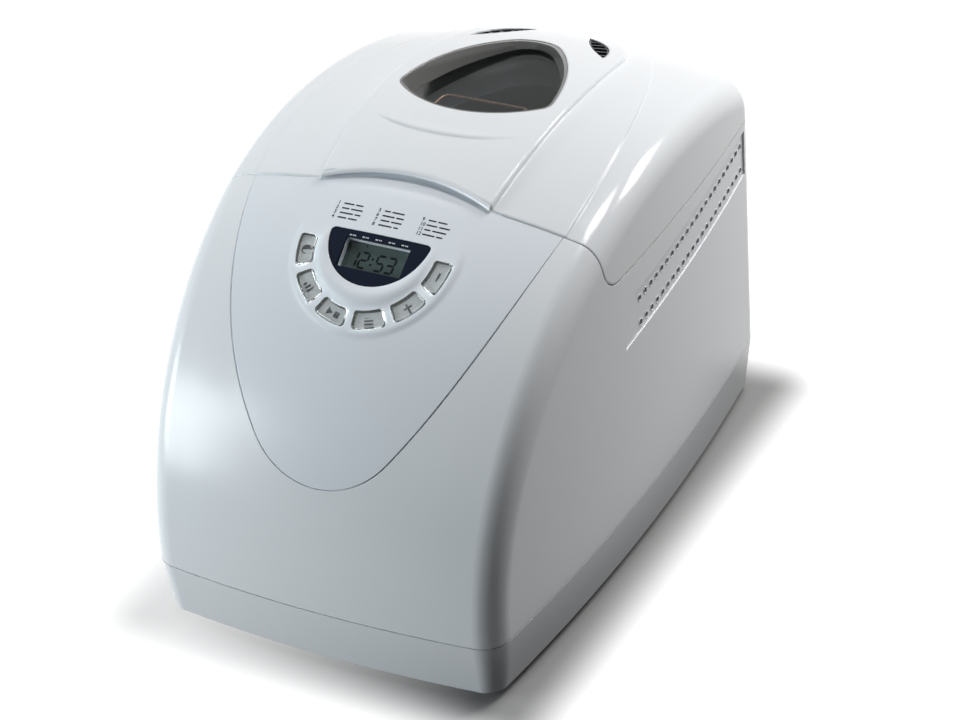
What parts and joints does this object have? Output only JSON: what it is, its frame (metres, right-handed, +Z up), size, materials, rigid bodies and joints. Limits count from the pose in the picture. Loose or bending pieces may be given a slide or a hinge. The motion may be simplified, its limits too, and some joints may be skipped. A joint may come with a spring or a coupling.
{
  "type": "bread machine",
  "caption": "Bread machine with a curved glossy white body, rear-hinged lid with window and steam vents, round-edged control panel with display and buttons, lift-out pan, belt drive and paddle",
  "frame": {"origin": "middle of the footprint, on the surface the feet stand on", "axes": "+X to the machine's right as its user faces it, +Y to the back where the lid hinges, +Z up"},
  "size_m": [0.258, 0.385, 0.2721],
  "materials": {
    "white_gloss": "glossy white moulded ABS",
    "panel_white": "glossy cool white moulded panel",
    "navy_gloss": "glossy near-black navy bezel",
    "lcd": "grey-green reflective display glass",
    "silver_button": "translucent silver button caps",
    "rim_grey": "satin grey plastic",
    "dark_plastic": "dark matte plastic",
    "smoked_glass": "smoked tempered glass",
    "rubber": "soft black rubber",
    "board": "green circuit laminate",
    "steel": "brushed and zinc-plated steel",
    "aluminium": "bare pressed aluminium",
    "nonstick": "dark grey non-stick coating on aluminium",
    "copper_sheath": "heat-tinted copper-coloured sheath and spring wire",
    "ceramic": "unglazed white ceramic",
    "brass": "sintered brass",
    "bright_steel": "polished steel",
    "belt_rubber": "toothed rubber drive belt",
    "motor_steel": "grey enamelled steel"
  },
  "bodies": {
    "machine": {"base_tray": "white_gloss", "feet": "rubber", "base_screws": "steel", "main_housing": "white_gloss", "front_panel": "panel_white", "display_bezel": "navy_gloss", "lcd_module": "lcd", "control_board": "board", "tact_switches": "dark_plastic", "hinge_pins": "bright_steel", "chamber_liner": "aluminium", "heating_element": "copper_sheath", "element_bushes": "ceramic", "temperature_sensor": "bright_steel", "pan_clips": "steel", "bearing_housing": "brass", "drive_belt": "belt_rubber", "motor_body": "motor_steel", "motor_bracket": "steel", "motor_capacitor": "motor_steel", "power_board": "board", "transformer": "motor_steel", "cord_gland": "rubber"},
    "lid": {"lid_shell": "white_gloss", "window_rim": "rim_grey", "window_glass": "smoked_glass", "glass_clip": "copper_sheath", "vent_grille_left": "dark_plastic", "vent_grille_right": "dark_plastic", "lid_liner": "aluminium", "lid_screws": "steel"},
    "pan": {"bread_pan": "nonstick", "pan_collar": "aluminium", "pan_bush": "brass"},
    "bail": {"pan_handle": "bright_steel"},
    "spindle": {"pan_shaft": "bright_steel", "pan_coupling": "steel"},
    "paddle": {"kneading_paddle": "nonstick"},
    "drive": {"drive_shaft": "bright_steel", "drive_coupling": "dark_plastic", "drive_pulley": "dark_plastic"},
    "rotor": {"motor_shaft": "bright_steel", "motor_pulley": "steel"},
    "key_1": {"button_1": "silver_button"},
    "key_2": {"button_2": "silver_button"},
    "key_3": {"button_3": "silver_button"},
    "key_4": {"button_4": "silver_button"},
    "key_5": {"button_5": "silver_button"},
    "key_6": {"button_6": "silver_button"}
  },
  "joints": [
    {"name": "lid_hinge", "type": "hinge", "parent": "machine", "child": "lid", "pos_m": [0, 0.1835, 0.215], "axis": [-1, 0, 0], "range_deg": [0, 80]},
    {"name": "pan_lift", "type": "slide", "parent": "machine", "child": "pan", "axis": [0, 0, 1], "range_m": [0, 0.03]},
    {"name": "pan_handle_swing", "type": "hinge", "parent": "pan", "child": "bail", "pos_m": [0, 0.08, 0.1925], "axis": [-1, 0, 0], "range_deg": [0, 25]},
    {"name": "pan_spindle_spin", "type": "hinge", "parent": "pan", "child": "spindle", "pos_m": [0, 0.08, 0.07], "axis": [0, 0, 1], "continuous": true},
    {"name": "paddle_lift", "type": "slide", "parent": "spindle", "child": "paddle", "axis": [0, 0, 1], "range_m": [0, 0.06]},
    {"name": "drive_spin", "type": "hinge", "parent": "machine", "child": "drive", "pos_m": [0, 0.08, 0.04], "axis": [0, 0, 1], "continuous": true},
    {"name": "motor_spin", "type": "hinge", "parent": "machine", "child": "rotor", "pos_m": [0, -0.095, 0.04], "axis": [0, 0, 1], "continuous": true},
    {"name": "button_1_press", "type": "slide", "parent": "machine", "child": "key_1", "axis": [0, 0.6157, -0.788], "range_m": [0, 0.001], "stiffness_N_per_m": 800},
    {"name": "button_2_press", "type": "slide", "parent": "machine", "child": "key_2", "axis": [0, 0.6157, -0.788], "range_m": [0, 0.001], "stiffness_N_per_m": 800},
    {"name": "button_3_press", "type": "slide", "parent": "machine", "child": "key_3", "axis": [0, 0.6157, -0.788], "range_m": [0, 0.001], "stiffness_N_per_m": 800},
    {"name": "button_4_press", "type": "slide", "parent": "machine", "child": "key_4", "axis": [0, 0.6157, -0.788], "range_m": [0, 0.001], "stiffness_N_per_m": 800},
    {"name": "button_5_press", "type": "slide", "parent": "machine", "child": "key_5", "axis": [0, 0.6157, -0.788], "range_m": [0, 0.001], "stiffness_N_per_m": 800},
    {"name": "button_6_press", "type": "slide", "parent": "machine", "child": "key_6", "axis": [0, 0.6157, -0.788], "range_m": [0, 0.001], "stiffness_N_per_m": 800}
  ],
  "couplings": [
    {"joint": "pan_spindle_spin", "follows": "drive_spin", "ratio": 1},
    {"joint": "motor_spin", "follows": "drive_spin", "ratio": 5}
  ]
}
